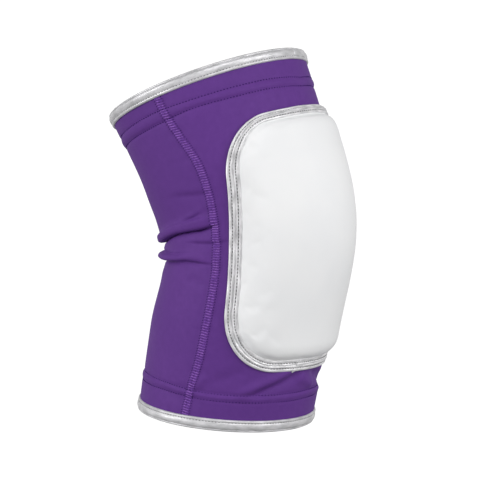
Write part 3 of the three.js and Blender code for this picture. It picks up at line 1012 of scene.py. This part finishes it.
rows = []
count = round(PAD_PERIMETER / TAPE_STITCH)
for into in PAD_STITCH_ROWS:
    for step in range(count):
        share = (TAPE_JOIN + step / count) % 1
        start = edge_point((share - PAD_STITCH_HALF / count) % 1, into * MM, PAD_STITCH_HIGH)
        end = edge_point((share + PAD_STITCH_HALF / count) % 1, into * MM, PAD_STITCH_HIGH)
        facing = edge_point(share, into * MM, 2 * MM) - edge_point(share, into * MM, 1 * MM)
        rows.append((start, end, facing.normalized()))
sew("pad_tape_stitches", rows, PAD_THREAD, tape_thread_and_groove_shade)


# The studio: a wide round cove that glows evenly white and only shows as the background. The light comes from
# a soft surround, weak from below and from overhead, and from three large lamps set high: one behind the
# pad's left, one beside the camera and one in front.
FLOOR_HEIGHT = -340 * MM
COVE_RADIUS = 5
COVE_HEIGHT = 8
LOW_LIGHT = 0.3
SIDE_LIGHT = 0.65
HIGH_LIGHT = 0.1

# A plain white screen that is lit evenly from behind, so that it gives the eye no edge or shadow.
cove_material, tree, shader = new_material("glowing_cove")
shader.inputs["Base Color"].default_value = colour("808080")
shader.inputs["Roughness"].default_value = 0.9
shader.inputs["Specular IOR Level"].default_value = 0.0
shader.inputs["Emission Color"].default_value = colour("FFFFFF")
shader.inputs["Emission Strength"].default_value = 1

bm = bmesh.new()
bmesh.ops.create_cone(bm, cap_ends=True, segments=96,
                      radius1=COVE_RADIUS, radius2=COVE_RADIUS, depth=COVE_HEIGHT)
bmesh.ops.translate(bm, verts=bm.verts, vec=(0, 0, FLOOR_HEIGHT + COVE_HEIGHT / 2))
bmesh.ops.reverse_faces(bm, faces=bm.faces)
mesh = bpy.data.meshes.new("studio_cove")
bm.to_mesh(mesh)
bm.free()
mesh.materials.append(cove_material)
cove = bpy.data.objects.new("studio_cove", mesh)
cove.visible_diffuse = False
cove.visible_glossy = False
cove.visible_shadow = False
bpy.context.collection.objects.link(cove)

world = bpy.data.worlds.new("soft_surround")
bpy.context.scene.world = world
world.use_nodes = True
tree = world.node_tree
place = add(tree, "TexCoord")
parts = add(tree, "SeparateXYZ", [("Vector", place.outputs["Generated"])])
lower = add(tree, "MapRange", [("Value", parts.outputs["Z"]), ("From Min", -0.6), ("From Max", -0.06),
                               ("To Min", LOW_LIGHT), ("To Max", SIDE_LIGHT)])
upper = add(tree, "MapRange", [("Value", parts.outputs["Z"]), ("From Min", 0.1), ("From Max", 1.0),
                               ("To Min", 1.0), ("To Max", HIGH_LIGHT)])
glow = add(tree, "Math", [(0, lower.outputs[0]), (1, upper.outputs[0])], operation="MULTIPLY")
tree.links.new(glow.outputs[0], tree.nodes["Background"].inputs["Strength"])
tree.nodes["Background"].inputs["Color"].default_value = (1, 1, 1, 1)
bpy.context.scene.view_settings.view_transform = "Standard"


def direction(azimuth, elevation):
    """The way from the knee to a place round it: azimuth 0 is in front, 90 on the +X side."""
    around, above = math.radians(azimuth), math.radians(elevation)
    return Vector((math.sin(around) * math.cos(above), -math.cos(around) * math.cos(above), math.sin(above)))


LAMP_DISTANCE = 2
LAMP_SIZE = 1


def soft_light(name, azimuth, elevation, power):
    """A square soft light that faces the knee pad."""
    place = LAMP_DISTANCE * direction(azimuth, elevation)
    data = bpy.data.lights.new(name, "AREA")
    data.shape = "SQUARE"
    data.size = LAMP_SIZE
    data.energy = power
    light = bpy.data.objects.new(name, data)
    light.location = place
    light.rotation_euler = (-place).to_track_quat("-Z", "Y").to_euler()
    bpy.context.collection.objects.link(light)


soft_light("left_light", -130, 16, 19)
soft_light("camera_light", -50, 32, 13)
soft_light("front_light", 0, 22, 15)


# The camera stands 60 degrees round from the pad's front, 5 degrees above the knee and 1.3 m away.
# It is moved sideways and up by a few millimetres, as the photograph frames the pad off its middle.
CAMERA_AZIMUTH = -60
CAMERA_ELEVATION = 5
CAMERA_DISTANCE = 1.3
CAMERA_ASIDE = -5.1 * MM
CAMERA_RAISE = 2.6 * MM
outward = direction(CAMERA_AZIMUTH, CAMERA_ELEVATION)
right = Vector((math.cos(math.radians(CAMERA_AZIMUTH)), math.sin(math.radians(CAMERA_AZIMUTH)), 0))
data = bpy.data.cameras.new("camera")
data.lens = 154
data.sensor_width = 36
data.clip_end = 20
camera = bpy.data.objects.new("camera", data)
camera.location = outward * CAMERA_DISTANCE + right * CAMERA_ASIDE + outward.cross(right) * CAMERA_RAISE
camera.rotation_euler = (-outward).to_track_quat("-Z", "Y").to_euler()
bpy.context.collection.objects.link(camera)
bpy.context.scene.camera = camera
